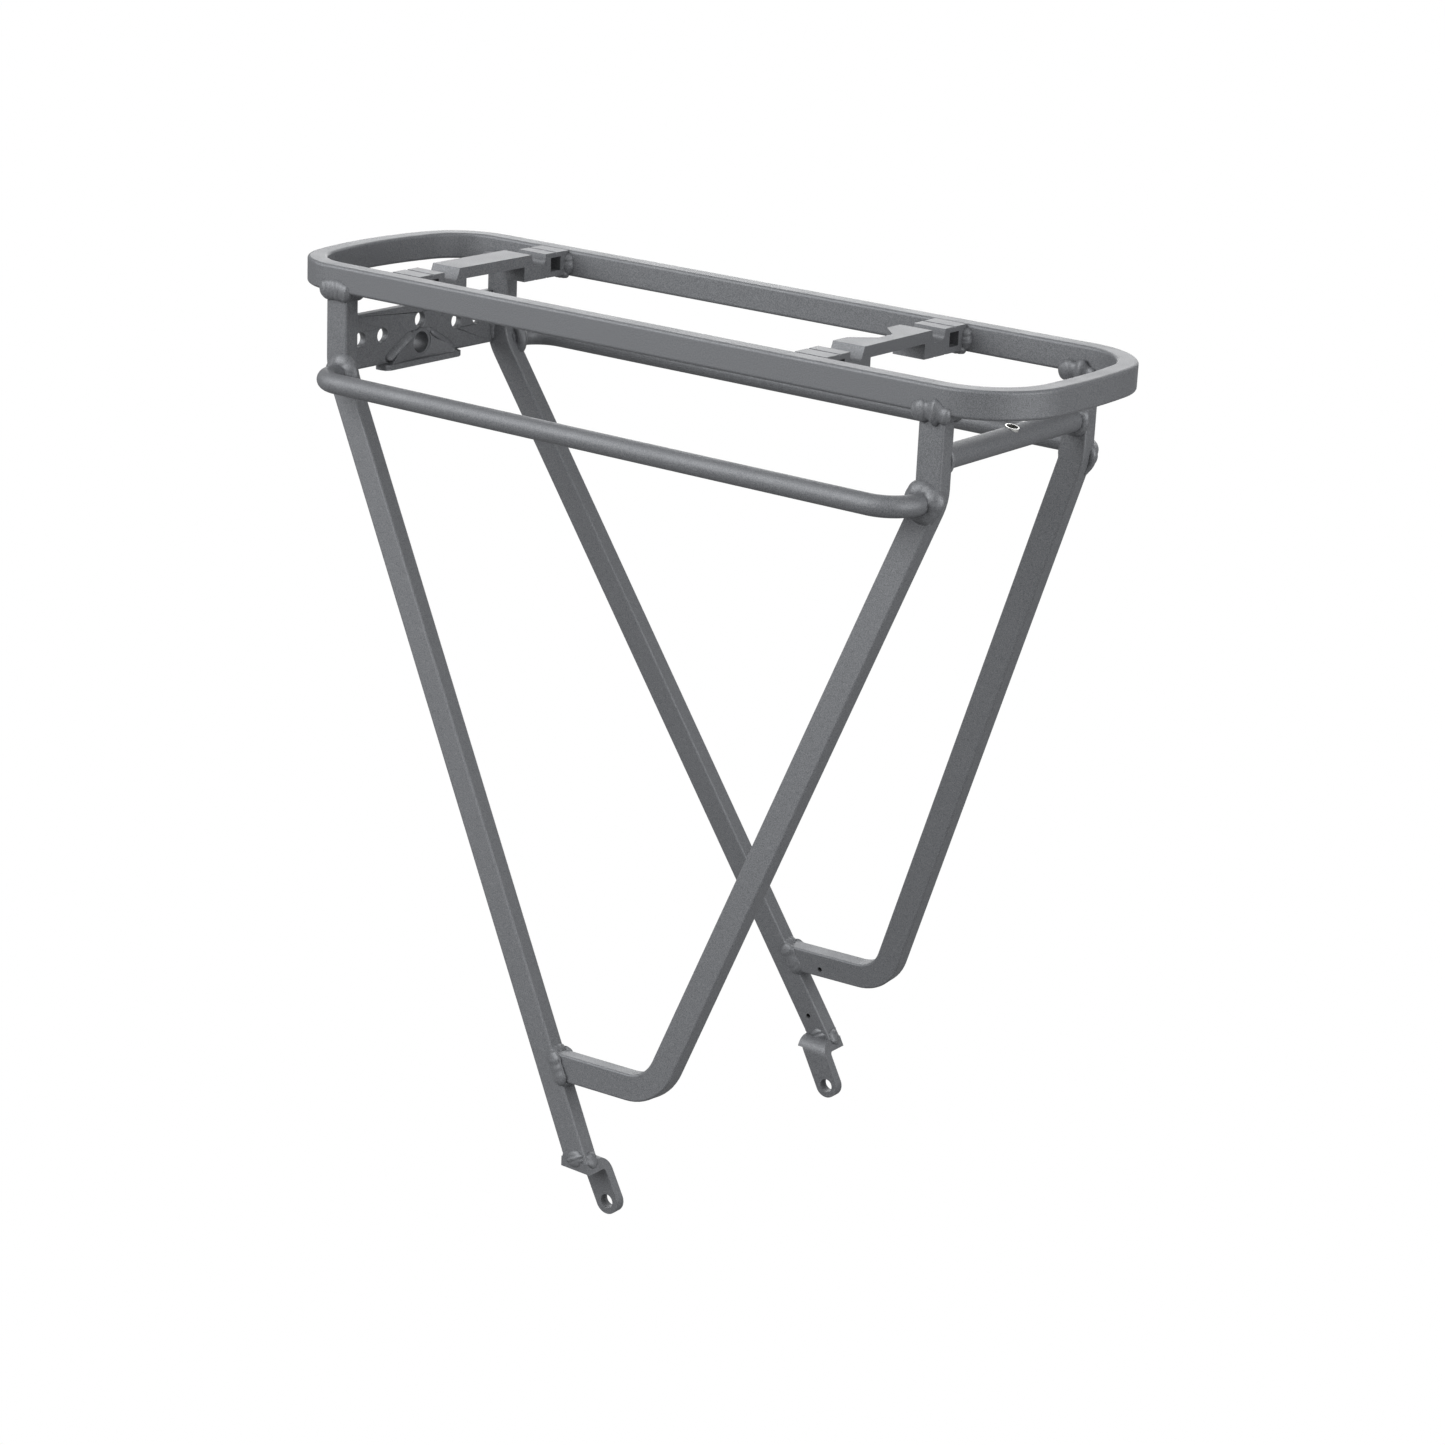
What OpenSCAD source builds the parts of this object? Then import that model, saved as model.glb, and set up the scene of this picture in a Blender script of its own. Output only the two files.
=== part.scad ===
// Bicycle rear rack, welded aluminium, rigid. Millimetres.
// +X points to the rear of the bicycle, +Y to its right side, +Z up.
// Origin: mid-length of the deck, on the symmetry plane, level with the lowest point of the feet.

/* [Deck loop] */
// Length of the deck loop, outside
deck_l = 395; // [380:1:420]
// Width of the deck loop, outside
deck_w = 120; // [116:1:124]
// Height of the loop's underside over the lowest point of the feet
deck_z = 378; // [376:1:380]
// Height of the loop's tube
loop_h = 12; // [11:0.5:13]
// Thickness of the loop's tube
loop_t = 9; // [8.5:0.5:9.5]
// Radius of the two rear corners, outside
rear_corner_r = 37; // [34:1:40]
// Radius of the slightly bowed rear end, outside
rear_end_r = 290; // [250:10:400]
// Radius of the two front corners, outside
front_corner_r = 31; // [28:1:34]
// Radius of the bowed front end, outside
front_end_r = 160; // [140:10:200]
// Wall of every rectangular tube
wall = 1.5; // [1.2:0.1:2]
// Rounding along the edges of the loop's tube
loop_edge_r = 1.4; // [1.2:0.1:2]

/* [Legs] */
// Depth of the leg tube, fore and aft
leg_d = 12; // [11:0.5:13]
// Width of the leg tube, across the bicycle
leg_w = 8; // [7.5:0.5:8.5]
// Rounding along the edges of the leg tube
leg_edge_r = 0.9; // [0.7:0.1:1.2]
// Distance of the legs' upper ends from the symmetry plane, to their middles
leg_top_y = 54.6; // [54:0.1:55]
// Place of the front legs along the deck
front_leg_x = -160; // [-162:0.5:-158]
// Place of the rear legs along the deck
rear_leg_x = 158; // [156:0.5:160]
// Lean of the front legs to the rear, in mm for each mm down
front_lean = 0.573; // [0.56:0.001:0.585]
// Lean of the rear legs to the front, in mm for each mm down
rear_lean = 0.363; // [0.35:0.001:0.375]
// Outward splay of the front legs, in mm for each mm down
front_splay = 0.117; // [0.115:0.001:0.119]
// Outward splay of the rear legs, in mm for each mm down
rear_splay = 0.1165; // [0.115:0.001:0.118]
// Depth of the front legs' bend below the loop
front_bend_depth = 35.5; // [34:0.5:38]
// Depth of the rear legs' bend below the loop
rear_bend_depth = 35; // [32:0.5:36]
// Radius of those bends, at the tube's middle
knee_r = 25; // [20:1:30]
// Depth of the stay returns' bend below the loop
return_depth = 311.5; // [308:0.5:316]
// Drop of the stay returns, in mm for each mm towards the front
return_drop = 0.047; // [0.03:0.001:0.07]
// Radius of the stay returns' bend, at the tube's middle
return_r = 20; // [16:1:24]

/* [Pannier rails] */
// Diameter of the pannier rails
rail_d = 9; // [8:0.5:10]
// Distance of each pannier rail from the symmetry plane
rail_y = 76.5; // [75:0.5:78]
// Depth of the pannier rails below the loop
rail_depth = 36.2; // [35:0.2:38]
// Radius of the rails' end bends, at the rod's middle
rail_bend_r = 14; // [12:1:15]
// Place of each rail's ends, fore and aft of the middle
rail_end_x = 156.5; // [155:0.5:158]

/* [Luggage adapters] */
// Length of each adapter along the deck
adapter_l = 16; // [15:0.5:18]
// Rear face of the front adapter
front_adapter_x = -117.5; // [-122:0.5:-112]
// Rear face of the rear adapter
rear_adapter_x = 101.5; // [96:0.5:106]
// Half-width of the raised centre plate
plate_half = 24.5; // [24:0.5:25]
// Rise of the centre plate over the loop's top
plate_rise = 0.8; // [0.6:0.1:1.2]

/* [Front cross plate] */
// Height of the plate
cross_h = 25; // [24:0.5:26]
// Thickness of the plate
cross_t = 3.5; // [3:0.5:4]
// Depth of the plate's top edge below the loop
cross_depth = 13; // [12:0.5:14]
// Diameter of the plate's bolt holes
bolt_d = 6.8; // [6:0.1:7]
// Distance between the two inner bolt holes
inner_pitch = 50.5; // [46:0.5:51]
// Distance between the two outer bolt holes
outer_pitch = 80; // [76:1:82]
// Bore of the bush in the bracket
bush_bore = 10; // [9:0.5:10]

/* [Rear cross tube] */
// Outside diameter of the cross tube
cross_tube_d = 10; // [9:0.5:10.5]
// Depth of the cross tube's middle below the loop
cross_tube_depth = 19.5; // [18:0.5:21]
// Thread bore of the light's rivet nut
insert_bore = 5; // [4:0.5:5]

/* [Feet] */
// Diameter of the eyelet holes
eyelet_d = 6.5; // [5.5:0.1:6.8]
// Width of the ears
ear_w = 12; // [11.5:0.5:13]
// Thickness of the ears
ear_t = 4.5; // [4:0.5:5]
// Distance between the middles of the two ears
eyelet_span = 166.4; // [166:0.1:167]

/* [Hidden] */
$fn = 48;
paint = "dimgray";
zinc = "silver";

loop_y = (deck_w - loop_t) / 2;
loop_top = deck_z + loop_h;
inner_y = deck_w / 2 - loop_t;
leg_inner_y = leg_top_y - leg_w / 2;
leg_front_x = front_leg_x - leg_d / 2;

// Short straight between two neighbouring bends
link = 1;
// How far a straight reaches into its neighbouring bends, and how much fuller a bend's section is
lap = 0.05;
swell = 0.01;

// Half the angle that a bowed end of the loop turns through
function end_half(corner_r, end_r) =
    asin((deck_w / 2 - corner_r) / norm([end_r - corner_r, link])) - atan(link / (end_r - corner_r));
// Distance from mid-deck to where a corner begins
function corner_x(corner_r, end_r) = deck_l / 2 - end_r
    + (end_r - corner_r) * cos(end_half(corner_r, end_r)) - link * sin(end_half(corner_r, end_r));
rear_half = end_half(rear_corner_r, rear_end_r);
front_half = end_half(front_corner_r, front_end_r);
rear_corner_x = corner_x(rear_corner_r, rear_end_r);
front_corner_x = corner_x(front_corner_r, front_end_r);

// A vector turned about z, and about y
function turn_z(v, a) = [v[0] * cos(a) - v[1] * sin(a), v[0] * sin(a) + v[1] * cos(a), v[2]];
function turn_y(v, a) = [v[0] * cos(a) + v[2] * sin(a), v[1], v[2] * cos(a) - v[0] * sin(a)];
// Angle between a run going along z and one going along v, and the direction it bends in
function bend_angle(v) = atan(norm([v[0], v[1]]) / v[2]) + (v[2] < 0 ? 180 : 0);
function bend_dir(v) = atan2(v[1], v[0]);
// A direction as seen from the run that follows a bend
function after_bend(v, angle, dir) = turn_z(turn_y(turn_z(v, -dir), -angle), dir);

// Directions of the lower runs as seen from a leg's upper end: x to the rear, y outward, z down
front_way = [front_lean, front_splay, 1];
rear_way = [-rear_lean, rear_splay, 1];
return_way = [-1, return_drop * rear_splay, return_drop];
rear_turn = bend_angle(rear_way);
return_seen = after_bend(return_way, rear_turn, bend_dir(rear_way));
return_turn = bend_angle(return_seen);

// Length of a leg above its bend
function upright_l(depth, way) = depth - knee_r * tan(bend_angle(way) / 2);
rear_run_l = (return_depth - rear_bend_depth) * norm(rear_way)
    - knee_r * tan(rear_turn / 2) - return_r * tan(return_turn / 2);
return_l = 40;
return_gap = 0.3;
front_run_l = 390;

// Feet: the legs end level, and the ears reach down to the origin's level
tab_inner_r = 1.5;
foot_half_l = 7;
foot_depth = deck_z - 26;
foot_z = deck_z - foot_depth;
ear_r = ear_w / 2;
ear_hole_x = 32;
ear_y = eyelet_span / 2;
splay = atan(front_splay);
// Distance from the symmetry plane of the legs' middles, at a depth below the loop
function leg_y(depth) = leg_top_y + (depth - front_bend_depth) * front_splay;
// Place along the bicycle of the front legs' middles, at a depth below the loop
function front_leg_mid(depth) = front_leg_x + (depth - front_bend_depth) * front_lean;
foot_mid_x = front_leg_mid(foot_depth);
foot_outer_y = leg_y(foot_depth) + leg_w / 2 + 0.5;

vent_d = 2.5;
vent_hidden_d = 5;
return_vent_x = 23;
return_vent_depth = 315;
leg_vent_depth = 342;

bracket_z = deck_z - 31;
bush_d = 13;
bush_l = 12;
cross_rear_x = leg_front_x + cross_t;
cross_bottom_z = deck_z - cross_depth - cross_h;
row_hole_z = deck_z - 24.6;
centre_hole_z = deck_z - 20.5;
pad_end_t = 3.8;
pad_mid_t = 0.6;
pad_half = 24.3;
pad_top_half = 5.5;
pad_top_z = deck_z - 25;
lip_t = 2.6;
lip_half = 26.4;
insert_d = 6;
insert_l = 7;

bead_r = 2.6;

// ---- tube sections and runs --------------------------------------------------
$grow = 0;

// Section of the current tube: $tube = [size along x, size along y, edge radius], shrunk by $inset
module section() {
    a = $tube[0] - 2 * $inset + 2 * $grow;
    b = $tube[1] - 2 * $inset + 2 * $grow;
    r = max($tube[2] - $inset, 0.3);
    if ($tube[2] >= $tube[0] / 2) {
        circle(d = a);
    } else {
        square([a - 2 * r, b], center = true);
        square([a, b - 2 * r], center = true);
        for (sx = [-1, 1], sy = [-1, 1])
            translate([sx * (a / 2 - r), sy * (b / 2 - r)]) circle(r = r);
    }
}

// A straight run along +z, reaching back by start and on by lap; what follows it is its child
module run(l, start = lap) {
    translate([0, 0, -start]) linear_extrude(height = l + start + lap) section();
    translate([0, 0, l]) children();
}

// A bend through an angle, towards +x turned by dir about z; what follows it is its child
module bend(r, angle, dir = 0) {
    rotate([0, 0, dir])
        translate([r, 0, 0]) rotate([90, 0, 180])
            rotate_extrude(angle = angle) translate([r, 0]) rotate(dir) section($grow = swell);
    rotate([0, 0, dir]) translate([r, 0, 0]) rotate([0, angle, 0]) translate([-r, 0, 0])
        rotate([0, 0, -dir]) children();
}

module mirrored() {
    children();
    mirror([0, 1, 0]) children();
}

// ---- deck loop ---------------------------------------------------------------
module loop_path(inset) {
    $tube = [loop_h, loop_t, loop_edge_r];
    $inset = inset;
    c = loop_t / 2;
    straight = rear_corner_x + front_corner_x;
    translate([-front_corner_x, -loop_y, deck_z + loop_h / 2]) rotate([0, 90, 0])
        run(straight)
        bend(rear_corner_r - c, 90 - rear_half, 90)
        run(link)
        bend(rear_end_r - c, 2 * rear_half, 90)
        run(link)
        bend(rear_corner_r - c, 90 - rear_half, 90)
        run(straight)
        bend(front_corner_r - c, 90 - front_half, 90)
        run(link)
        bend(front_end_r - c, 2 * front_half, 90)
        run(link)
        bend(front_corner_r - c, 90 - front_half, 90);
}

module deck_loop() {
    color(paint) difference() {
        loop_path(0);
        loop_path(wall);
        // hidden vents into the legs
        for (x = [front_leg_x, rear_leg_x], s = [-1, 1])
            translate([x, s * leg_top_y, deck_z - 1]) cylinder(d = vent_hidden_d, h = wall + 2);
    }
}

// ---- legs --------------------------------------------------------------------
module front_leg_path(inset) {
    $tube = [leg_d, leg_w, leg_edge_r];
    $inset = inset;
    translate([front_leg_x, -leg_top_y, deck_z]) rotate([180, 0, 0])
        run(upright_l(front_bend_depth, front_way), start = inset > 0 ? lap : 0)
        bend(knee_r, bend_angle(front_way), bend_dir(front_way))
        run(front_run_l);
}

module rear_leg_path(inset) {
    $tube = [leg_d, leg_w, leg_edge_r];
    $inset = inset;
    translate([rear_leg_x, -leg_top_y, deck_z]) rotate([180, 0, 0])
        run(upright_l(rear_bend_depth, rear_way), start = inset > 0 ? lap : 0)
        bend(knee_r, rear_turn, bend_dir(rear_way))
        run(rear_run_l)
        bend(return_r, return_turn, bend_dir(return_seen))
        run(return_l);
}

module front_leg_solid() {
    difference() {
        front_leg_path(0);
        translate([-20, -150, foot_z - 100]) cube([150, 100, 100]);
    }
}

// Cutter for a vent from a leg's middle out through its inner face
module inner_vent(x, depth) {
    translate([x, -leg_y(depth), deck_z - depth]) rotate([-90 - splay, 0, 0])
        cylinder(d = vent_d, h = leg_w);
}

module front_leg() {
    difference() {
        front_leg_solid();
        front_leg_path(wall);
        inner_vent(front_leg_mid(leg_vent_depth), leg_vent_depth);
    }
}

// Cutter that ends the return at the front leg's rear face
module return_mitre() {
    translate([front_leg_mid(return_depth), -leg_y(return_depth), deck_z - return_depth])
        rotate([0, -atan(front_lean), 0])
        translate([leg_d / 2 + return_gap - 60, -30, -40]) cube([60, 60, 80]);
}

module rear_leg() {
    difference() {
        rear_leg_path(0);
        rear_leg_path(wall);
        return_mitre();
        inner_vent(return_vent_x, return_vent_depth);
    }
}

module front_left_leg() { color(paint) front_leg(); }
module front_right_leg() { color(paint) mirror([0, 1, 0]) front_leg(); }
module rear_left_leg() { color(paint) rear_leg(); }
module rear_right_leg() { color(paint) mirror([0, 1, 0]) rear_leg(); }

// ---- pannier rails -----------------------------------------------------------
module rail_path() {
    $tube = [rail_d, rail_d, rail_d / 2];
    $inset = 0;
    stub = rail_y - rail_bend_r - leg_top_y;
    straight = 2 * (rail_end_x - rail_bend_r);
    translate([-rail_end_x, -leg_top_y, deck_z - rail_depth]) rotate([90, 0, 0])
        run(stub)
        bend(rail_bend_r, 90)
        run(straight)
        bend(rail_bend_r, 90)
        run(stub);
}

module pannier_rail() {
    difference() {
        rail_path();
        front_leg_path(0);
        rear_leg_path(0);
    }
}

module left_pannier_rail() { color(paint) pannier_rail(); }
module right_pannier_rail() { color(paint) mirror([0, 1, 0]) pannier_rail(); }

// ---- luggage adapters --------------------------------------------------------
// Points of an arc from angle a0 to a1
function arc(c, r, a0, a1, n = 6) =
    [for (i = [0:n]) [c[0] + r * cos(a0 + (a1 - a0) * i / n), c[1] + r * sin(a0 + (a1 - a0) * i / n)]];

// Half of an adapter's section: distance from the symmetry plane, height over the loop's underside
module adapter_half() {
    top = loop_h + plate_rise;
    difference() {
        polygon(concat(
            [[0, 7.7], [0, top], [plate_half, top], [plate_half + 1.7, 8.6]],
            arc([plate_half + 3.4, 8.9], 1.7, 190, 270, 4),
            arc([32, 9.7], 2.5, 270, 355, 6),
            [[34.8, loop_h], [41.2, loop_h], [42, loop_h - 0.8], [42.8, loop_h], [inner_y, loop_h]],
            [[inner_y, 0.9], [36.2, 0.9], [35.6, 1.5], [35, 0.9], [28.2, 0.9], [27.6, 1.5], [27, 0.9]],
            [[19.9, 0.9], [19.9, 7.7]]
        ));
        translate([38.5, 3.5]) square([6.8, 6.3]);
    }
}

module adapter_bar() {
    translate([0, 0, deck_z]) rotate([90, 0, 90]) linear_extrude(height = adapter_l) {
        adapter_half();
        mirror([1, 0]) adapter_half();
    }
}

module front_adapter() {
    color(paint) translate([front_adapter_x - adapter_l, 0, 0]) adapter_bar();
}

module rear_adapter() {
    color(paint) difference() {
        translate([rear_adapter_x - adapter_l, 0, 0]) adapter_bar();
        // entry notch in the front edge of the centre plate
        translate([rear_adapter_x - adapter_l, 0, deck_z + 5])
            linear_extrude(height = 12) polygon([[-1, -15.6], [9.3, -5], [9.3, 5], [-1, 15.6]]);
    }
}

// ---- front cross plate and bracket -------------------------------------------
module hole_x(d, y, z) {
    translate([leg_front_x - 20, y, z]) rotate([0, 90, 0]) cylinder(d = d, h = 40);
}

module front_cross_plate() {
    color(paint) difference() {
        translate([leg_front_x, -leg_inner_y, cross_bottom_z])
            cube([cross_t, 2 * leg_inner_y, cross_h]);
        hole_x(bolt_d, 0, centre_hole_z);
        for (s = [-1, 1]) {
            hole_x(bolt_d, s * inner_pitch / 2, row_hole_z);
            hole_x(bolt_d, s * outer_pitch / 2, row_hole_z);
        }
        hole_x(bush_d, 0, bracket_z);
    }
}

module front_bracket() {
    lip_z = cross_bottom_z - lip_t;
    color(paint) difference() {
        union() {
            // two flanks that rise from the lip, hollow towards the bore
            intersection() {
                translate([cross_rear_x, 0, lip_z + 1]) linear_extrude(height = 30)
                    polygon([[0, -pad_half], [pad_end_t, -pad_half], [pad_mid_t, -4], [pad_mid_t, 4],
                        [pad_end_t, pad_half], [0, pad_half]]);
                translate([cross_rear_x - 1, 0, 0]) rotate([90, 0, 90]) linear_extrude(height = 10)
                    polygon([[-pad_half, lip_z + 1], [pad_half, lip_z + 1],
                        [pad_top_half, pad_top_z], [-pad_top_half, pad_top_z]]);
            }
            // lip under the plate's edge
            translate([0, 0, lip_z]) linear_extrude(height = lip_t)
                polygon([[leg_front_x + 0.5, -lip_half], [cross_rear_x, -lip_half],
                    [cross_rear_x + 2.6, -lip_half + 0.8], [cross_rear_x + pad_end_t, -pad_half + 1.2],
                    [cross_rear_x + pad_end_t, pad_half - 1.2], [cross_rear_x + 2.6, lip_half - 0.8],
                    [cross_rear_x, lip_half], [leg_front_x + 0.5, lip_half]]);
        }
        hole_x(bush_d, 0, bracket_z);
        hole_x(bolt_d + 1, 0, centre_hole_z);
    }
}

module bracket_bush() {
    color(paint) translate([cross_rear_x + pad_mid_t - bush_l, 0, bracket_z]) rotate([0, 90, 0])
        difference() {
            cylinder(d = bush_d, h = bush_l);
            translate([0, 0, -1]) cylinder(d = bush_bore, h = bush_l + 2);
        }
}

// ---- rear cross tube ---------------------------------------------------------
insert_tilt = 12;
module at_insert() {
    translate([rear_leg_x, 0, deck_z - cross_tube_depth]) rotate([0, insert_tilt, 0]) children();
}

module rear_cross_tube() {
    color(paint) difference() {
        translate([rear_leg_x, leg_inner_y, deck_z - cross_tube_depth]) rotate([90, 0, 0])
            difference() {
                cylinder(d = cross_tube_d, h = 2 * leg_inner_y);
                translate([0, 0, -1]) cylinder(d = cross_tube_d - 2 * wall, h = 2 * leg_inner_y + 2);
            }
        at_insert() cylinder(d = insert_d, h = cross_tube_d);
    }
}

module light_rivet_nut() {
    color(zinc) at_insert() translate([0, 0, cross_tube_d / 2 + 0.4 - insert_l]) difference() {
        cylinder(d = insert_d, h = insert_l);
        translate([0, 0, -1]) cylinder(d = insert_bore, h = insert_l + 2);
    }
}

// ---- feet --------------------------------------------------------------------
// The tab as a strip seen along the bicycle: flat under the leg's end, then bent down into the ear
module tab_strip() {
    bend_y = ear_y + ear_t / 2 + tab_inner_r;
    bend_z = foot_z - ear_t - tab_inner_r;
    translate([bend_y, foot_z - ear_t]) square([foot_outer_y - bend_y, ear_t]);
    translate([ear_y - ear_t / 2, -1]) square([ear_t, bend_z + 1]);
    intersection() {
        translate([bend_y, bend_z]) difference() {
            circle(r = tab_inner_r + ear_t);
            circle(r = tab_inner_r);
        }
        translate([ear_y - ear_t / 2, bend_z]) square(tab_inner_r + ear_t);
    }
}

// The tab's outline seen from its side: a round ear that leans back and widens under the leg
module tab_outline() {
    lean = atan((foot_mid_x - ear_hole_x) / (foot_z - ear_r));
    intersection() {
        union() {
            translate([ear_hole_x, ear_r]) {
                circle(r = ear_r);
                rotate(-lean) translate([0.03 - ear_r, 0]) square([ear_w - 0.06, 40]);
            }
            translate([foot_mid_x - foot_half_l, foot_z - ear_t]) square([2 * foot_half_l, ear_t]);
        }
        square([60, foot_z]);
    }
}

module foot_tab() {
    difference() {
        intersection() {
            rotate([90, 0, 90]) mirror([1, 0, 0]) linear_extrude(height = 60) tab_strip();
            rotate([90, 0, 0]) linear_extrude(height = 120) tab_outline();
        }
        translate([ear_hole_x, 0, ear_r]) rotate([90, 0, 0]) cylinder(d = eyelet_d, h = 120);
        // drain slot into the leg
        translate([foot_mid_x - 3, -leg_y(foot_depth) - 1, foot_z - 10]) cube([6, 2, 20]);
    }
}

module left_foot_tab() { color(paint) foot_tab(); }
module right_foot_tab() { color(paint) mirror([0, 1, 0]) foot_tab(); }

// ---- welds -------------------------------------------------------------------
// A bead of radius r along an axis, centred on a point
module bead(p, axis, l, r = bead_r) {
    translate(p) rotate(axis == "x" ? [0, 90, 0] : axis == "y" ? [90, 0, 0] : [0, 0, 0])
        cylinder(r = r, h = l, center = true);
}

// The loop's left straight, as solid, to fit beads against
module loop_side() {
    $tube = [loop_h, loop_t, loop_edge_r];
    $inset = 0;
    translate([-front_corner_x, -loop_y, deck_z + loop_h / 2]) rotate([0, 90, 0])
        run(rear_corner_x + front_corner_x);
}

// The upper end of a leg, as solid
module leg_stub(x) {
    $tube = [leg_d, leg_w, leg_edge_r];
    $inset = 0;
    translate([x, -leg_top_y, deck_z]) rotate([180, 0, 0]) run(20, start = 0);
}

module leg_top_welds() {
    color(paint) mirrored() difference() {
        for (x = [front_leg_x, rear_leg_x]) {
            for (s = [-1, 1])
                bead([x + s * leg_d / 2, -leg_top_y, deck_z], "y", 8, 3.2);
            for (s = [-1, 1])
                bead([x, -leg_top_y + s * leg_w / 2, deck_z], "x", 10, 2.2);
        }
        loop_side();
        leg_stub(front_leg_x);
        leg_stub(rear_leg_x);
    }
}

// Beads where an adapter ends against the loop's left side
module adapter_end_welds(x_rear) {
    difference() {
        union() {
            bead([x_rear, -inner_y, deck_z + 5.5], "z", 10);
            bead([x_rear - adapter_l, -inner_y, deck_z + 5.5], "z", 10);
            bead([x_rear - adapter_l / 2, -inner_y + 1.5, deck_z + 0.9], "x", adapter_l - 2, 2.2);
        }
        loop_side();
        translate([x_rear - adapter_l, -inner_y - 0.5, deck_z + 0.9]) cube([adapter_l, 20, 12]);
        translate([x_rear - 60, -200, deck_z - 20]) cube([120, 200 - loop_y - 2, 60]);
    }
}

module front_adapter_welds() { color(paint) mirrored() adapter_end_welds(front_adapter_x); }
module rear_adapter_welds() { color(paint) mirrored() adapter_end_welds(rear_adapter_x); }

// A collar of weld round a rail's end, cut flush with the leg's splayed outer face
module rail_collar(x) {
    difference() {
        translate([x, 1 - leg_y(rail_depth) - leg_w / 2, deck_z - rail_depth]) rotate([90, 0, 0])
            difference() {
                cylinder(d = rail_d + 4, h = 3);
                translate([0, 0, -1]) cylinder(d = rail_d, h = 6);
            }
        translate([x, -leg_y(rail_depth), deck_z - rail_depth]) rotate([-splay, 0, 0])
            translate([-20, -leg_w / 2 - 0.3, -40]) cube([40, 20, 60]);
    }
}

module pannier_rail_welds() {
    color(paint) mirrored() for (x = [-rail_end_x, rail_end_x]) rail_collar(x);
}

module stay_return_welds() {
    // where the return's upper and lower faces meet the front leg's rear face
    r_top = [front_leg_mid(306) + 7, -leg_y(306), deck_z - 306];
    r_low = [front_leg_mid(319) + 7, -leg_y(319), deck_z - 319];
    color(paint) mirrored() difference() {
        union() {
            for (p = [r_top, r_low])
                bead(p, "y", leg_w - 1, 2.4);
            for (s = [-1, 1])
                translate((r_top + r_low) / 2 + [0, s * leg_w / 2, 0])
                    rotate([splay, 30, 0]) cylinder(r = 1.8, h = 13, center = true);
        }
        front_leg_path(0);
        rear_leg_path(0);
    }
}

module cross_plate_welds() {
    color(paint) mirrored() difference() {
        for (x = [leg_front_x + 0.2, cross_rear_x])
            bead([x, -leg_inner_y, deck_z - 24], "z", 24, 1.9);
        // everything outboard of the leg's inner face
        translate([leg_front_x - 20, -leg_inner_y + 0.05 - 40, deck_z - 60]) cube([60, 40, 60]);
        translate([leg_front_x, -leg_inner_y, cross_bottom_z]) cube([cross_t, 2 * leg_inner_y, cross_h]);
    }
}

module bracket_welds() {
    color(paint) mirrored() difference() {
        translate([cross_rear_x, -(pad_half + pad_top_half) / 2, (cross_bottom_z - lip_t + pad_top_z) / 2])
            rotate([-atan((pad_half - pad_top_half) / (pad_top_z - cross_bottom_z + lip_t)), 0, 0])
                rotate([0, 0, 25]) cylinder(r = 1.8, h = 14, center = true);
        translate([cross_rear_x - 10, -60, 0]) cube([10, 60, 400]);
        front_bracket_block();
    }
}

// The pad's outline as a plain block, to fit beads against
module front_bracket_block() {
    translate([cross_rear_x - 1, 0, 0]) rotate([90, 0, 90]) linear_extrude(height = 20)
        polygon([[-pad_half, cross_bottom_z - lip_t], [pad_half, cross_bottom_z - lip_t],
            [pad_top_half, pad_top_z], [-pad_top_half, pad_top_z]]);
}

module cross_tube_welds() {
    color(paint) mirrored()
        translate([rear_leg_x, -leg_inner_y, deck_z - cross_tube_depth]) rotate([-90, 0, 0])
            difference() {
                cylinder(d = cross_tube_d + 3.4, h = 1.8);
                translate([0, 0, -1]) cylinder(d = cross_tube_d, h = 4);
            }
}

module foot_welds() {
    color(paint) mirrored() difference() {
        union() {
            for (s = [-1, 1])
                bead([foot_mid_x + s * 6.9, -leg_y(foot_depth), foot_z], "y", 8, 2);
            bead([foot_mid_x, -leg_y(foot_depth) + leg_w / 2, foot_z], "x", 12, 2.2);
            bead([foot_mid_x, -leg_y(foot_depth) - leg_w / 2, foot_z], "x", 12, 1.6);
        }
        front_leg_path(0);
        translate([foot_mid_x - foot_half_l, -foot_outer_y, foot_z - ear_t])
            cube([2 * foot_half_l, 60, ear_t]);
    }
}

deck_loop();
front_adapter();
rear_adapter();
front_left_leg();
front_right_leg();
rear_left_leg();
rear_right_leg();
left_pannier_rail();
right_pannier_rail();
front_cross_plate();
front_bracket();
bracket_bush();
rear_cross_tube();
light_rivet_nut();
left_foot_tab();
right_foot_tab();
leg_top_welds();
front_adapter_welds();
rear_adapter_welds();
pannier_rail_welds();
stay_return_welds();
cross_plate_welds();
bracket_welds();
cross_tube_welds();
foot_welds();
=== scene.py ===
"""The looks of the rear rack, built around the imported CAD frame. Metres, +X to the rear, +Y right, +Z up."""
import math

import bpy
import numpy as np
from mathutils import Matrix, Vector

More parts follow.
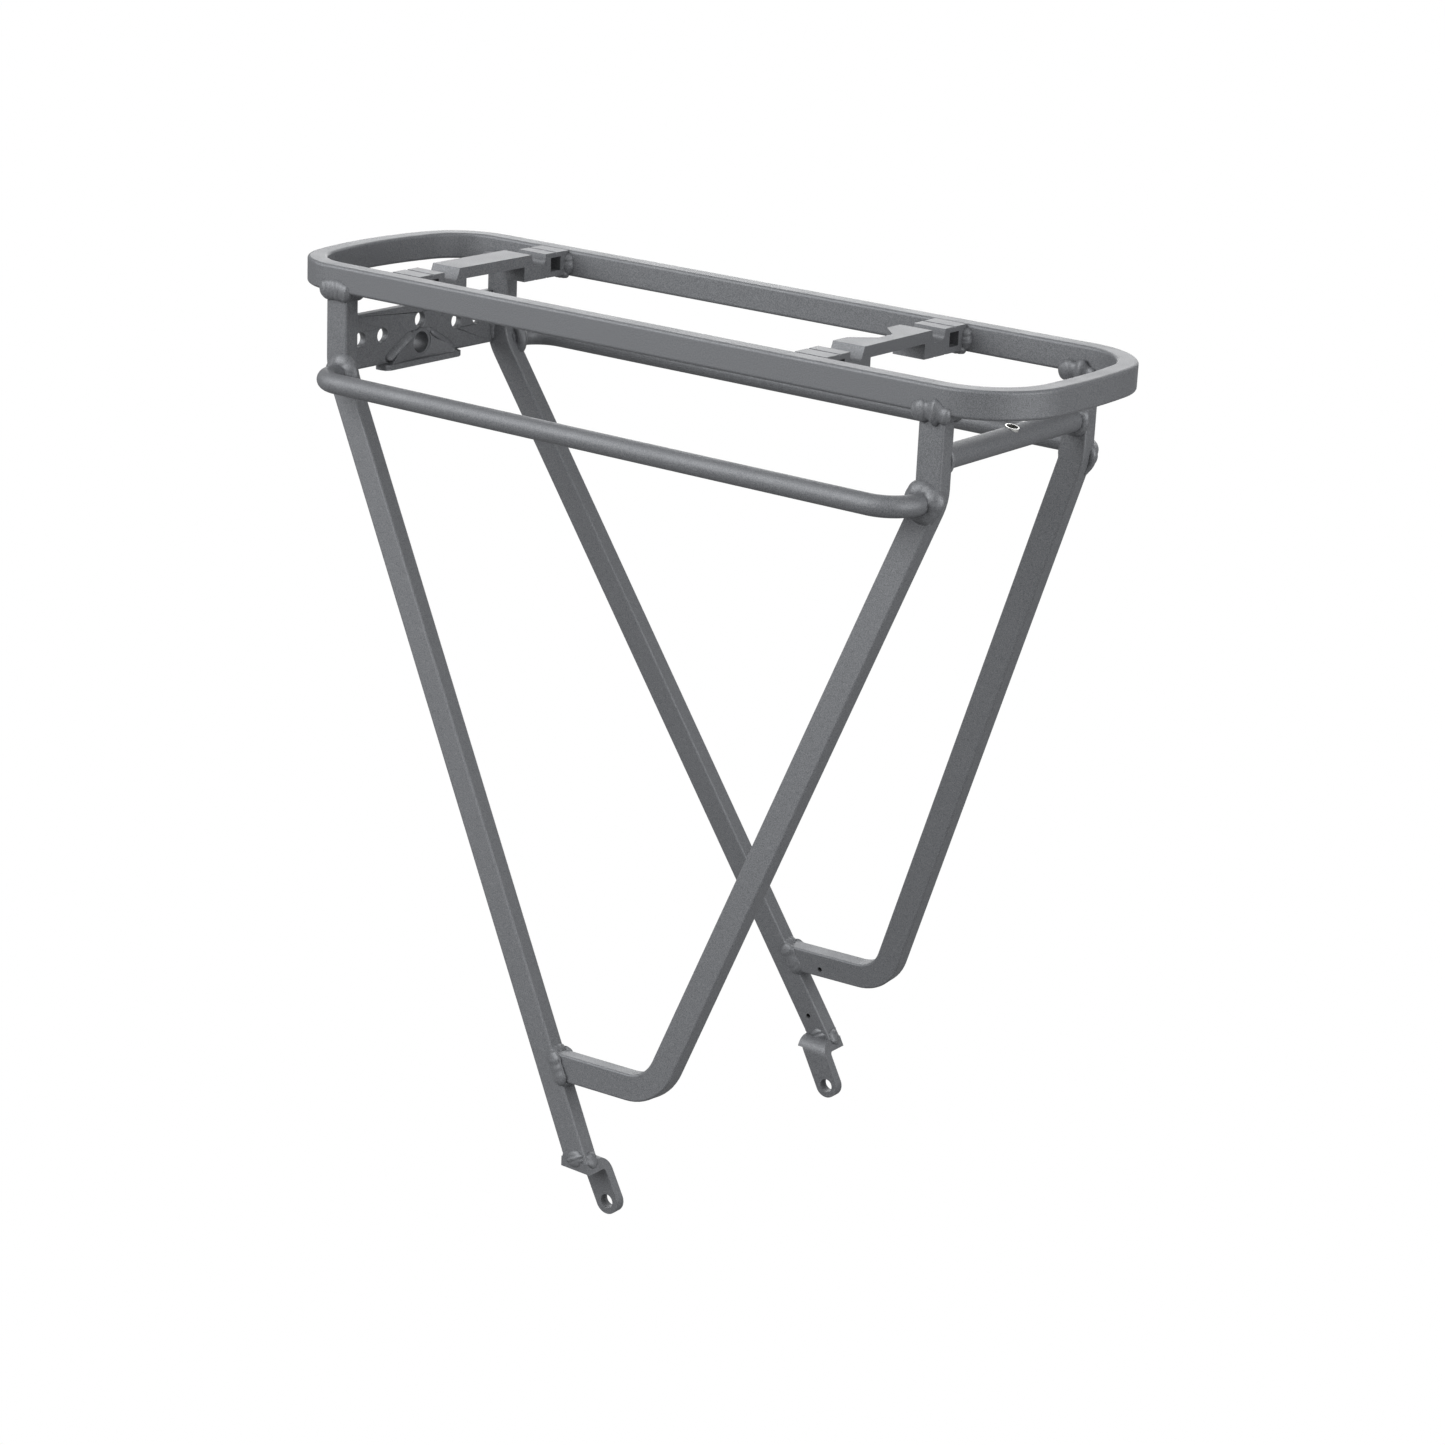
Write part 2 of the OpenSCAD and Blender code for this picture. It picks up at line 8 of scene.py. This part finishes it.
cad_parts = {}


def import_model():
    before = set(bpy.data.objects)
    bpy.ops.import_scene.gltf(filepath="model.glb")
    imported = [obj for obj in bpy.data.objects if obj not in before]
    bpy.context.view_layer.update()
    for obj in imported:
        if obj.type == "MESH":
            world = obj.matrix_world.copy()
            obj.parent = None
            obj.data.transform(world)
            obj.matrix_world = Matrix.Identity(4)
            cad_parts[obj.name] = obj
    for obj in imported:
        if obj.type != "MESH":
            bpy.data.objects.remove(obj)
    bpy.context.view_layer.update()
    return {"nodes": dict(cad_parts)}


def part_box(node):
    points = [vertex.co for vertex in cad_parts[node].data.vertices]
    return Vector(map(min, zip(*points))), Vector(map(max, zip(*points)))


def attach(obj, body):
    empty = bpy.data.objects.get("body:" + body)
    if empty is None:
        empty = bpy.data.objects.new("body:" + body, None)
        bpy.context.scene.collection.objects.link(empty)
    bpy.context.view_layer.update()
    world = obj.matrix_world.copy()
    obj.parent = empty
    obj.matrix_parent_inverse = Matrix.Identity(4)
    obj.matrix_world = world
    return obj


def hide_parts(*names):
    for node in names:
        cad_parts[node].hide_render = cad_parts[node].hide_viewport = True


MM = 0.001


# ---- materials ---------------------------------------------------------------
def new_material(name):
    """A material, its nodes and links, and its shader."""
    material = bpy.data.materials.new(name)
    material.use_nodes = True
    nodes, links = material.node_tree.nodes, material.node_tree.links
    return material, nodes, links, nodes["Principled BSDF"]


def noise(nodes, links, coords, scale, detail=2.0):
    """A noise texture over the object's own coordinates."""
    texture = nodes.new("ShaderNodeTexNoise")
    texture.inputs["Scale"].default_value = scale
    texture.inputs["Detail"].default_value = detail
    links.new(coords.outputs["Object"], texture.inputs["Vector"])
    return texture.outputs["Fac"]


def spread(nodes, links, value, low, high):
    """Maps a noise value, mostly between 0.3 and 0.7, to the range low to high."""
    mapped = nodes.new("ShaderNodeMapRange")
    mapped.inputs["From Min"].default_value = 0.3
    mapped.inputs["From Max"].default_value = 0.7
    mapped.inputs["To Min"].default_value = low
    mapped.inputs["To Max"].default_value = high
    links.new(value, mapped.inputs["Value"])
    return mapped.outputs["Result"]


def grey_paint(name, dark, light, roughness, grain):
    """Satin metallic grey paint: fine flake in the colour, a slight orange peel in the surface."""
    material, nodes, links, shader = new_material(name)
    coords = nodes.new("ShaderNodeTexCoord")
    flake = noise(nodes, links, coords, 2600.0)
    mix = nodes.new("ShaderNodeMix")
    mix.data_type = "RGBA"
    mix.inputs["A"].default_value = (*dark, 1.0)
    mix.inputs["B"].default_value = (*light, 1.0)
    links.new(spread(nodes, links, flake, 0.0, 1.0), mix.inputs["Factor"])
    links.new(mix.outputs["Result"], shader.inputs["Base Color"])
    patches = noise(nodes, links, coords, 60.0)
    links.new(
        spread(nodes, links, patches, roughness - 0.03, roughness + 0.03), shader.inputs["Roughness"]
    )
    shader.inputs["Metallic"].default_value = 0.35
    shader.inputs["Specular IOR Level"].default_value = 0.5
    bump = nodes.new("ShaderNodeBump")
    bump.inputs["Strength"].default_value = grain
    bump.inputs["Distance"].default_value = 0.05 * MM
    links.new(noise(nodes, links, coords, 1400.0, 3.0), bump.inputs["Height"])
    links.new(bump.outputs["Normal"], shader.inputs["Normal"])
    return material


def bright_zinc():
    """Bare zinc plating, with fine changes in its gloss."""
    material, nodes, links, shader = new_material("bright_zinc")
    coords = nodes.new("ShaderNodeTexCoord")
    shader.inputs["Base Color"].default_value = (0.72, 0.72, 0.70, 1.0)
    shader.inputs["Metallic"].default_value = 1.0
    scratches = noise(nodes, links, coords, 900.0)
    links.new(spread(nodes, links, scratches, 0.16, 0.3), shader.inputs["Roughness"])
    return material


def pale_floor():
    """White to the camera, and a dull grey to the rack, so its undersides stay dark."""
    material, nodes, links, shader = new_material("pale_floor")
    shader.inputs["Base Color"].default_value = (0.2, 0.2, 0.2, 1.0)
    shader.inputs["Roughness"].default_value = 0.9
    white = nodes.new("ShaderNodeEmission")
    white.inputs["Color"].default_value = (1.0, 1.0, 1.0, 1.0)
    seen = nodes.new("ShaderNodeLightPath")
    mix = nodes.new("ShaderNodeMixShader")
    links.new(seen.outputs["Is Camera Ray"], mix.inputs["Fac"])
    links.new(shader.outputs["BSDF"], mix.inputs[1])
    links.new(white.outputs["Emission"], mix.inputs[2])
    links.new(mix.outputs["Shader"], nodes["Material Output"].inputs["Surface"])
    return material


def paint_node(obj, material):
    """Gives an object this one material."""
    obj.data.materials.clear()
    obj.data.materials.append(material)


# ---- studio ------------------------------------------------------------------
AZIMUTH = math.radians(36.35)
ELEVATION = math.radians(18.13)
ROLL = math.radians(2.65)
CAMERA_PLACE = Vector((0.8626, -1.1445, 0.6703))
LENS_MM = 84.1
SKY_LOW = 0.06
SKY_HIGH = 0.85


def add_camera():
    """The camera at the photograph's angle, slightly rolled."""
    back = Vector((
        math.sin(AZIMUTH) * math.cos(ELEVATION),
        -math.cos(AZIMUTH) * math.cos(ELEVATION),
        math.sin(ELEVATION),
    ))
    level = Vector((math.cos(AZIMUTH), math.sin(AZIMUTH), 0.0))
    upright = back.cross(level)
    right = level * math.cos(ROLL) + upright * math.sin(ROLL)
    up = upright * math.cos(ROLL) - level * math.sin(ROLL)
    data = bpy.data.cameras.new("camera")
    data.sensor_width = 36.0
    data.lens = LENS_MM
    data.clip_start = 0.05
    data.clip_end = 50.0
    camera = bpy.data.objects.new("camera", data)
    turn = Matrix((right, up, back)).transposed().to_4x4()
    camera.matrix_world = Matrix.Translation(CAMERA_PLACE) @ turn
    bpy.context.scene.collection.objects.link(camera)
    bpy.context.scene.camera = camera
    return camera


def softbox(name, place, target, width, height, power):
    """A rectangular light at a place, turned to a target."""
    data = bpy.data.lights.new(name, "AREA")
    data.shape = "RECTANGLE"
    data.size = width
    data.size_y = height
    data.energy = power
    light = bpy.data.objects.new(name, data)
    light.location = place
    light.rotation_euler = (Vector(target) - Vector(place)).to_track_quat("-Z", "Y").to_euler()
    bpy.context.scene.collection.objects.link(light)


def studio_world():
    """A white surround to the camera, and to the rack a bright sky over a dark lower half."""
    world = bpy.data.worlds.new("studio")
    bpy.context.scene.world = world
    world.use_nodes = True
    nodes, links = world.node_tree.nodes, world.node_tree.links
    background = nodes["Background"]
    background.inputs["Color"].default_value = (1.0, 1.0, 1.0, 1.0)
    background.inputs["Strength"].default_value = 1.0
    lighting = nodes.new("ShaderNodeBackground")
    coords = nodes.new("ShaderNodeTexCoord")
    split = nodes.new("ShaderNodeSeparateXYZ")
    links.new(coords.outputs["Generated"], split.inputs["Vector"])
    height = nodes.new("ShaderNodeMapRange")
    height.inputs["From Min"].default_value = -0.35
    height.inputs["From Max"].default_value = 0.75
    height.inputs["To Min"].default_value = SKY_LOW
    height.inputs["To Max"].default_value = SKY_HIGH
    links.new(split.outputs["Z"], height.inputs["Value"])
    links.new(height.outputs["Result"], lighting.inputs["Strength"])
    seen = nodes.new("ShaderNodeLightPath")
    mix = nodes.new("ShaderNodeMixShader")
    links.new(seen.outputs["Is Camera Ray"], mix.inputs["Fac"])
    links.new(lighting.outputs["Background"], mix.inputs[1])
    links.new(background.outputs["Background"], mix.inputs[2])
    links.new(mix.outputs["Shader"], nodes["World Output"].inputs["Surface"])


def add_studio():
    """Floor, surround and softboxes."""
    bpy.context.scene.view_settings.view_transform = "Standard"
    studio_world()
    bpy.ops.mesh.primitive_plane_add(size=12.0, location=(0.0, 0.0, -0.0005))
    floor = bpy.context.object
    floor.name = "floor"
    paint_node(floor, pale_floor())
    softbox("key", (-0.9, -1.6, 1.3), (0.0, 0.0, 0.22), 2.2, 1.6, 66.0)
    softbox("far_side_fill", (-1.0, 1.9, 1.0), (0.0, 0.0, 0.22), 2.0, 1.6, 38.0)
    softbox("rear_fill", (1.9, -0.1, 0.75), (0.1, 0.0, 0.25), 1.5, 1.2, 34.0)


# ---- weld beads --------------------------------------------------------------
PITCH = 2.1 * MM  # length of one ripple, unless a bead says otherwise
AROUND = 20  # points round a bead's section
PER_RIPPLE = 9  # sections along one ripple
STEPS = 24  # points on the curve between two given points
LEAST_RINGS = 8
WOBBLE = 0.05  # slow change of a bead's size along it
LEAST_END = 0.02  # how far a bead's ends close
SWEEP = 0.62  # how far a ripple's middle lags its edges, in ripples
SKEW = 0.25  # how far one edge lags the other
GROOVE = 0.55  # exponent; below 1 the grooves are narrower than the ridges
RISE_DEPTH = 0.1  # depth of the ripples in the bead's height
REACH_DEPTH = 0.04  # and in its width


def smooth_path(points, closed, step):
    """Points spaced evenly along a curve through the given points, and the direction at each."""
    points = [np.array(p, float) for p in points]
    count = len(points)
    spans = count if closed else count - 1

    def at(i):
        if closed:
            return points[i % count]
        if i < 0:
            return 2 * points[0] - points[1]
        if i >= count:
            return 2 * points[-1] - points[-2]
        return points[i]

    dense = []
    for i in range(spans):
        before, a, b, after = at(i - 1), at(i), at(i + 1), at(i + 2)
        for t in np.linspace(0, 1, STEPS, endpoint=False):
            dense.append(0.5 * (
                2 * a + (b - before) * t + (2 * before - 5 * a + 4 * b - after) * t ** 2
                + (3 * a - before - 3 * b + after) * t ** 3
            ))
    dense.append(points[0] if closed else points[-1])
    dense = np.array(dense)
    lengths = np.concatenate([[0], np.cumsum(np.linalg.norm(np.diff(dense, axis=0), axis=1))])
    rings = max(LEAST_RINGS, int(lengths[-1] / step))
    places = np.linspace(0, lengths[-1], rings + (0 if closed else 1), endpoint=not closed)
    path = np.stack([np.interp(places, lengths, dense[:, k]) for k in range(3)], axis=1)
    if closed:
        ways = np.roll(path, -1, axis=0) - np.roll(path, 1, axis=0)
    else:
        ways = np.gradient(path, axis=0)
    ways /= np.linalg.norm(ways, axis=1)[:, None]
    return path, ways, places, lengths[-1]


def bead_mesh(points, outward, width, height, closed=False, seed=0, pitch=PITCH):
    """A weld bead like a pushed-over row of coins: vertices and faces, in the row frame.

    outward is one direction, or a function of a point, in which the bead bulges.
    """
    rng = np.random.default_rng(seed)
    path, ways, places, total = smooth_path(points, closed, pitch / PER_RIPPLE)
    ripples = max(1, round(total / pitch))
    wobble = rng.normal(0, WOBBLE, 3)
    verts, faces = [], []
    angles = np.linspace(0, 2 * np.pi, AROUND, endpoint=False)
    for p, way, s in zip(path, ways, places):
        out = np.array(outward(p) if callable(outward) else outward, float)
        out = out - way * out.dot(way)
        out /= np.linalg.norm(out)
        side = np.cross(way, out)
        share = s / total
        end = 1.0
        if not closed:
            gap = min(s, total - s) / (0.5 * width)
            end = math.sqrt(max(LEAST_END, 1 - (1 - min(gap, 1.0)) ** 2))
        swell = 1 + sum(
            w * math.sin(2 * math.pi * ((k + 2) * share + w * 40)) for k, w in enumerate(wobble)
        )
        for angle in angles:
            across = math.cos(angle)
            phase = share * ripples + SWEEP * across * across + SKEW * across
            ridge = abs(math.sin(math.pi * phase)) ** GROOVE
            rise = (1 - RISE_DEPTH + RISE_DEPTH * ridge) * swell * end
            reach = (1 - REACH_DEPTH + REACH_DEPTH * ridge) * swell * end
            sideways = side * (0.5 * width * across * reach)
            verts.append(p + sideways + out * (height * math.sin(angle) * rise))
    rings = len(path)
    for i in range(rings if closed else rings - 1):
        a, b = i * AROUND, ((i + 1) % rings) * AROUND
        for j in range(AROUND):
            k = (j + 1) % AROUND
            faces.append((a + j, b + j, b + k, a + k))
    if not closed:
        faces.append(tuple(range(AROUND)))
        faces.append(tuple(range((rings - 1) * AROUND, rings * AROUND))[::-1])
    return verts, faces


def mirror_bead(verts, faces):
    """The same bead on the right side, with its faces still outward."""
    return [v * np.array((1, -1, 1)) for v in verts], [f[::-1] for f in faces]


def weld_piece(name, beads, stands_for, material):
    """One object out of the left side's beads and their mirror images."""
    verts, faces = [], []
    for bead in beads:
        for v, f in (bead, mirror_bead(*bead)):
            start = len(verts)
            verts += [tuple(p) for p in v]
            faces += [tuple(i + start for i in face) for face in f]
    mesh = bpy.data.meshes.new(name)
    mesh.from_pydata(verts, [], faces)
    mesh.update()
    for polygon in mesh.polygons:
        polygon.use_smooth = True
    obj = bpy.data.objects.new(name, mesh)
    bpy.context.scene.collection.objects.link(obj)
    paint_node(obj, material)
    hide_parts(*stands_for)
    return obj


# ---- the object --------------------------------------------------------------
# Sizes the welds follow, as the CAD source has them
LOOP_INNER_Y = 51.0 * MM
LEG_DEPTH = 12.0 * MM
LEG_WIDTH = 8.0 * MM
LEG_TOP_Y = 54.6 * MM
BEND_DEPTH = 35.5 * MM
FRONT_LEG_X = -160.0 * MM
REAR_LEG_X = 158.0 * MM
FRONT_LEAN = 0.573
SPLAY = 0.117
RAIL_DEPTH = 36.2 * MM
RAIL_RADIUS = 4.5 * MM
RAIL_END_X = 156.5 * MM


def front_leg_mid(depth, deck_z):
    """Middle of the left front leg at a depth below the loop."""
    down = max(0.0, depth - BEND_DEPTH)
    return np.array((FRONT_LEG_X + down * FRONT_LEAN, -LEG_TOP_Y - down * SPLAY, deck_z - depth))


def leg_top_beads(deck_z):
    """Beads round the top of each leg, under the loop."""
    beads = []
    outer_y = -LEG_TOP_Y - LEG_WIDTH / 2
    inner_y = -LEG_TOP_Y + LEG_WIDTH / 2
    for n, x in enumerate((FRONT_LEG_X, REAR_LEG_X)):
        half = LEG_DEPTH / 2
        # fat beads along the loop's outer and inner sides
        for side, y in ((-1, outer_y - 0.6 * MM), (1, inner_y + 0.5 * MM)):
            path = [
                (x - half - 3 * MM, y, deck_z - 0.6 * MM),
                (x - half / 2, y, deck_z + 0.8 * MM),
                (x + half / 2, y, deck_z + 0.8 * MM),
                (x + half + 3 * MM, y, deck_z - 0.6 * MM),
            ]
            beads.append(bead_mesh(
                path, (0, side, -0.12), 9.4 * MM, 2.6 * MM, seed=n + 2, pitch=2.6 * MM
            ))
        # corner beads across the front and rear faces
        for way in (-1, 1):
            edge = x + way * (half + 0.3 * MM)
            path = [
                (edge, outer_y - 1.2 * MM, deck_z - 0.2 * MM),
                (edge, -LEG_TOP_Y, deck_z - 0.4 * MM),
                (edge, inner_y + 1.0 * MM, deck_z - 0.2 * MM),
            ]
            beads.append(bead_mesh(path, (way, 0, -1), 6.5 * MM, 2.3 * MM, seed=n + 9))
    return beads


def ring(centre, radius, axis, count=16):
    """Points of a circle round an axis through the centre."""
    axis = Vector(axis).normalized()
    first = axis.orthogonal().normalized()
    second = axis.cross(first)
    return [
        np.array(centre) + radius * (math.cos(a) * np.array(first) + math.sin(a) * np.array(second))
        for a in (2 * math.pi * i / count for i in range(count))
    ]


def rail_beads(deck_z):
    """A thick ring round each end of the rail, on the leg's outer face."""
    beads = []
    for n, x in enumerate((-RAIL_END_X, RAIL_END_X)):
        face_y = -LEG_TOP_Y - LEG_WIDTH / 2 - 0.2 * MM
        centre = np.array((x, face_y, deck_z - RAIL_DEPTH))

        def outward(p, centre=centre):
            radial = (p - centre) / np.linalg.norm(p - centre)
            return radial * 0.7 + np.array((0, -1.0, 0))

        circle = ring(centre, RAIL_RADIUS + 1.4 * MM, (0, 1, 0))
        beads.append(bead_mesh(circle, outward, 7.4 * MM, 2.5 * MM, True, n + 20, 3.4 * MM))
    return beads


def stay_return_beads(deck_z):
    """Beads where the return of the rear leg meets the front leg's rear face."""
    face = LEG_DEPTH / 2 / math.cos(math.atan(FRONT_LEAN))
    high = front_leg_mid(307.5 * MM, deck_z) + np.array((face, 0, 0))
    low = front_leg_mid(321.0 * MM, deck_z) + np.array((face, 0, 0))
    across = np.array((0, LEG_WIDTH / 2 + 0.1 * MM, 0))
    beads = []
    for n, side in enumerate((-1, 1)):
        path = [high + side * across, (high + low) / 2 + side * across * 1.02, low + side * across]
        beads.append(bead_mesh(
            path, (0, side, 0.1 * side), 7.4 * MM, 1.7 * MM, seed=n + 31, pitch=3.4 * MM
        ))
    for n, (p, out) in enumerate(((high, (0.6, 0, 0.8)), (low, (0.75, 0, -0.65)))):
        path = [p - across, p, p + across]
        beads.append(bead_mesh(path, out, 5.0 * MM, 1.2 * MM, seed=n + 35))
    return beads


def adapter_beads(node, deck_z):
    """Beads down the two ends of an adapter's left side, and along its underside."""
    lo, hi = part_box(node)
    y = -LOOP_INNER_Y
    beads = []
    for n, (x, way) in enumerate(((hi.x, 1), (lo.x, -1))):
        path = [
            (x, y, deck_z + 10.6 * MM),
            (x + way * 0.3 * MM, y + 0.3 * MM, deck_z + 6 * MM),
            (x, y + 0.3 * MM, deck_z + 1.0 * MM),
        ]
        beads.append(bead_mesh(path, (way, 1.0, 0), 6.4 * MM, 2.5 * MM, seed=n + 41))
    path = [
        (lo.x - 1 * MM, y + 1.2 * MM, deck_z + 0.9 * MM),
        ((lo.x + hi.x) / 2, y + 1.4 * MM, deck_z + 0.7 * MM),
        (hi.x + 1 * MM, y + 1.2 * MM, deck_z + 0.9 * MM),
    ]
    beads.append(bead_mesh(path, (0, 0.5, -1), 5.4 * MM, 1.9 * MM, seed=45))
    return beads


def cross_plate_beads():
    """Beads down the plate's end, behind and ahead of it."""
    lo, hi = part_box("front_cross_plate")
    beads = []
    for n, (x, way) in enumerate(((hi.x, 1), (lo.x + 0.6 * MM, -1))):
        path = [
            (x, lo.y + 0.2 * MM, hi.z - 1 * MM),
            (x, lo.y, (lo.z + hi.z) / 2),
            (x, lo.y - 1.2 * MM, lo.z + 1 * MM),
        ]
        beads.append(bead_mesh(path, (way, 0.8, 0), 4.6 * MM, 1.6 * MM, seed=n + 51))
    return beads


def cross_tube_beads():
    """A ring round the end of the cross tube."""
    lo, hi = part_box("rear_cross_tube")
    centre = np.array(((lo.x + hi.x) / 2, lo.y, (lo.z + hi.z) / 2))

    def outward(p):
        radial = (p - centre) / np.linalg.norm(p - centre)
        return radial + np.array((0, 0.9, 0))

    circle = ring(centre + np.array((0, 0.4 * MM, 0)), (hi.z - lo.z) / 2 + 0.4 * MM, (0, 1, 0))
    return [bead_mesh(circle, outward, 4.2 * MM, 1.5 * MM, True, 61, 2.2 * MM)]


def bracket_beads():
    """A bead down the flank of the bracket, on the plate."""
    lo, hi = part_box("front_bracket")
    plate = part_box("front_cross_plate")[1].x
    low = (plate, lo.y + 3.2 * MM, lo.z + 4.5 * MM)
    high = (plate, -6.0 * MM, hi.z - 0.8 * MM)
    middle = (plate, (low[1] + high[1]) / 2, (low[2] + high[2]) / 2)
    return [bead_mesh([low, middle, high], (1, -0.8, 0.9), 5.5 * MM, 1.5 * MM, seed=71)]


def foot_beads(deck_z):
    """Patches on the four faces of the leg's end, over the foot tab's upper edge."""
    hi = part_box("left_foot_tab")[1]
    leg_end = front_leg_mid(deck_z - hi.z, deck_z)
    half_x = LEG_DEPTH / 2 / math.cos(math.atan(FRONT_LEAN))
    half_y = LEG_WIDTH / 2
    beads = []
    # place on the leg's section, way out, width and height in mm
    patches = (
        ((0.1, -1.0), (0, -1, 0.1), 10.0, 1.6),
        ((0.1, 1.0), (0, 1, 0.1), 8.0, 1.2),
        ((1.0, 0.0), (1, 0, 0.6), 6.6, 1.5),
        ((-1.0, 0.0), (-1, 0, 0.3), 6.6, 1.3),
    )
    for n, ((a, b), out, width, height) in enumerate(patches):
        spot = leg_end + np.array((a * half_x, b * half_y, 0))
        up = np.array((-FRONT_LEAN, SPLAY, 1.0)) * 5.2 * MM
        path = [spot - up * 0.5, spot + up * 0.1, spot + up * 0.75]
        beads.append(bead_mesh(path, out, width * MM, height * MM, seed=n + 81, pitch=2.9 * MM))
    return beads


def break_edges(obj, width):
    """Rounds the sharp edges of a CAD node by a hair."""
    for polygon in obj.data.polygons:
        polygon.use_smooth = True
    weld = obj.modifiers.new("seams", "WELD")
    weld.merge_threshold = 0.01 * MM
    bevel = obj.modifiers.new("edges", "BEVEL")
    bevel.width = width
    bevel.segments = 3
    bevel.limit_method = "ANGLE"
    bevel.angle_limit = math.radians(40)
    weighted = obj.modifiers.new("normals", "WEIGHTED_NORMAL")
    weighted.keep_sharp = True
    weighted.weight = 90


SOFT_EDGES = {
    "front_adapter": 0.35 * MM,
    "rear_adapter": 0.35 * MM,
    "front_cross_plate": 0.3 * MM,
    "front_bracket": 0.5 * MM,
    "left_foot_tab": 0.5 * MM,
    "right_foot_tab": 0.5 * MM,
}


PAINT_DARK = (0.07, 0.073, 0.079)
PAINT_LIGHT = (0.158, 0.163, 0.172)


def main():
    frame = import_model()
    nodes = frame["nodes"]

    paint = grey_paint("frame_grey", PAINT_DARK, PAINT_LIGHT, 0.56, 0.3)
    weld_paint = grey_paint("weld_grey", PAINT_DARK, PAINT_LIGHT, 0.52, 0.3)
    for name, obj in nodes.items():
        paint_node(obj, paint)
        if name in SOFT_EDGES:
            break_edges(obj, SOFT_EDGES[name])
    paint_node(nodes["light_rivet_nut"], bright_zinc())

    deck_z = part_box("deck_loop")[0].z
    welds = {
        "leg_top_weld_beads": (leg_top_beads(deck_z), "leg_top_welds"),
        "rail_weld_beads": (rail_beads(deck_z), "pannier_rail_welds"),
        "stay_return_weld_beads": (stay_return_beads(deck_z), "stay_return_welds"),
        "front_adapter_weld_beads": (adapter_beads("front_adapter", deck_z), "front_adapter_welds"),
        "rear_adapter_weld_beads": (adapter_beads("rear_adapter", deck_z), "rear_adapter_welds"),
        "cross_plate_weld_beads": (cross_plate_beads(), "cross_plate_welds"),
        "cross_tube_weld_beads": (cross_tube_beads(), "cross_tube_welds"),
        "bracket_weld_beads": (bracket_beads(), "bracket_welds"),
        "foot_weld_beads": (foot_beads(deck_z), "foot_welds"),
    }
    body = "rack"
    for name, (beads, node) in welds.items():
        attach(weld_piece(name, beads, [node], weld_paint), body)

    add_camera()
    add_studio()


main()
